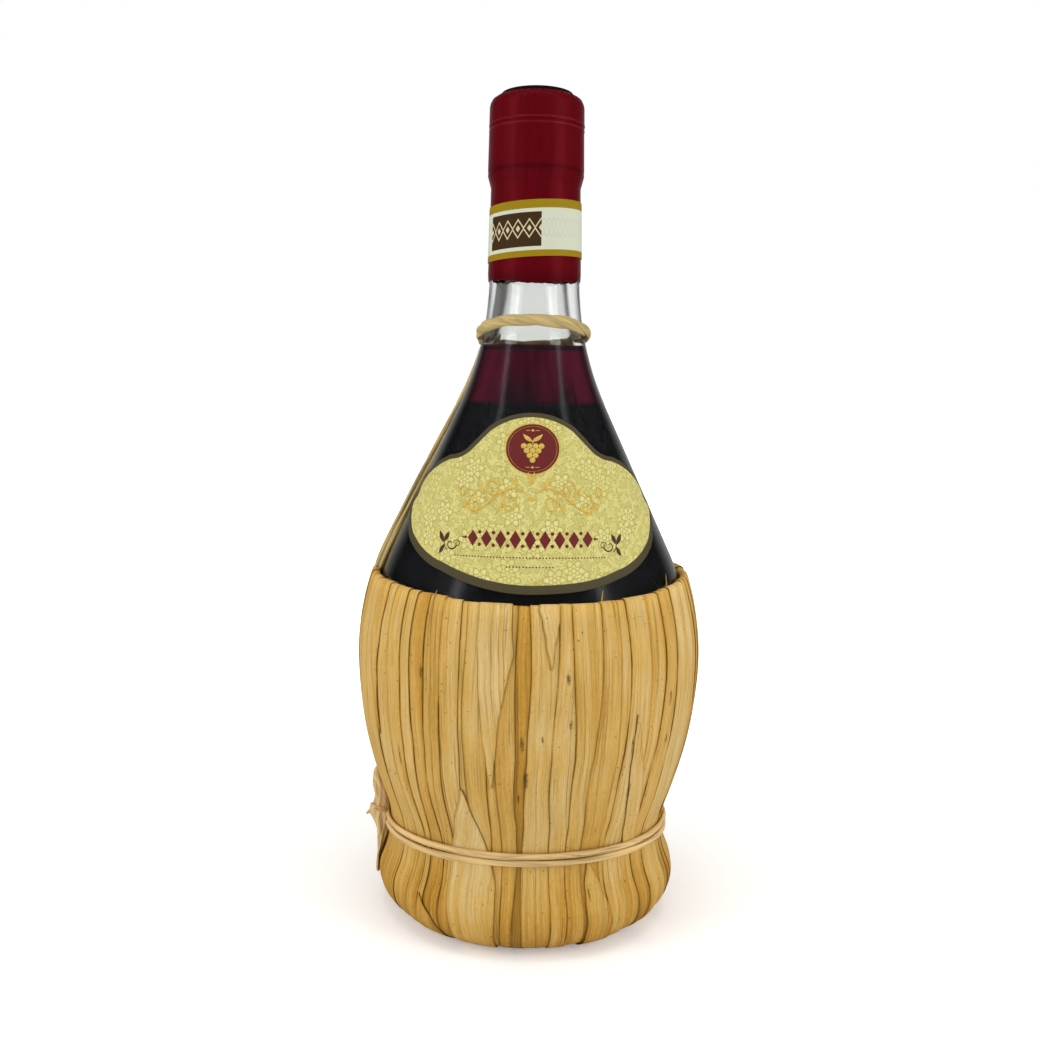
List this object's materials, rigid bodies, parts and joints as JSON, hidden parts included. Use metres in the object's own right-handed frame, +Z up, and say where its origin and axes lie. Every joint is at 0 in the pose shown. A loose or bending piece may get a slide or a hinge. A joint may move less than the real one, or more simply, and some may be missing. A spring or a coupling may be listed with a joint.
{
  "type": "straw-dressed wine flask",
  "caption": "Round-bottomed glass wine flask dressed in folded straw leaves tied at the waist, with a cork under a two-part neck capsule.",
  "frame": {"origin": "middle of the underside, on the floor that the flask stands on", "axes": "+Z up along the bottle's axis, -Y towards the label, +X to the right as seen from the label"},
  "size_m": [0.111, 0.111, 0.2611],
  "materials": {
    "glass": "polished",
    "wine": "gloss",
    "cork": "matte",
    "capsule": "satin",
    "top_disc": "satin",
    "strip_paper": "matte",
    "label_paper": "satin",
    "straw": "matte",
    "base_ring": "matte",
    "twine": "matte",
    "raffia": "matte"
  },
  "bodies": {
    "bottle": {"glass_bottle": "glass", "wine": "wine", "capsule_sleeve": "capsule", "neck_strip": "strip_paper", "front_label": "label_paper", "base_ring": "base_ring", "rim_hoop": "twine", "waist_twine": "twine", "twine_knot": "twine", "neck_loop": "raffia", "neck_knot": "raffia", "shoulder_strap": "raffia", "straw_leaf_01": "straw", "straw_leaf_02": "straw", "straw_leaf_03": "straw", "straw_leaf_04": "straw", "straw_leaf_05": "straw", "straw_leaf_06": "straw", "straw_leaf_07": "straw", "straw_leaf_08": "straw", "straw_leaf_09": "straw", "straw_leaf_10": "straw", "straw_leaf_11": "straw", "straw_leaf_12": "straw", "straw_leaf_13": "straw", "straw_leaf_14": "straw", "straw_leaf_15": "straw", "straw_leaf_16": "straw", "straw_leaf_17": "straw", "straw_leaf_18": "straw", "straw_leaf_19": "straw", "straw_leaf_20": "straw", "straw_leaf_21": "straw", "straw_leaf_22": "straw", "straw_leaf_23": "straw", "straw_leaf_24": "straw", "straw_leaf_25": "straw", "straw_leaf_26": "straw", "straw_leaf_27": "straw", "straw_leaf_28": "straw", "straw_leaf_29": "straw", "straw_leaf_30": "straw", "straw_leaf_31": "straw", "straw_leaf_32": "straw", "straw_leaf_33": "straw", "straw_leaf_34": "straw", "straw_leaf_35": "straw", "straw_leaf_36": "straw", "straw_leaf_37": "straw", "straw_leaf_38": "straw", "straw_leaf_39": "straw", "straw_leaf_40": "straw"},
    "cork": {"cork": "cork"},
    "capsule_cap": {"capsule_cap": "capsule", "capsule_top_disc": "top_disc"}
  },
  "joints": [
    {"name": "cork_pull", "type": "slide", "parent": "bottle", "child": "cork", "axis": [0, 0, 1], "range_m": [0, 0.07]},
    {"name": "capsule_lift", "type": "slide", "parent": "cork", "child": "capsule_cap", "axis": [0, 0, 1], "range_m": [0, 0.05]}
  ]
}
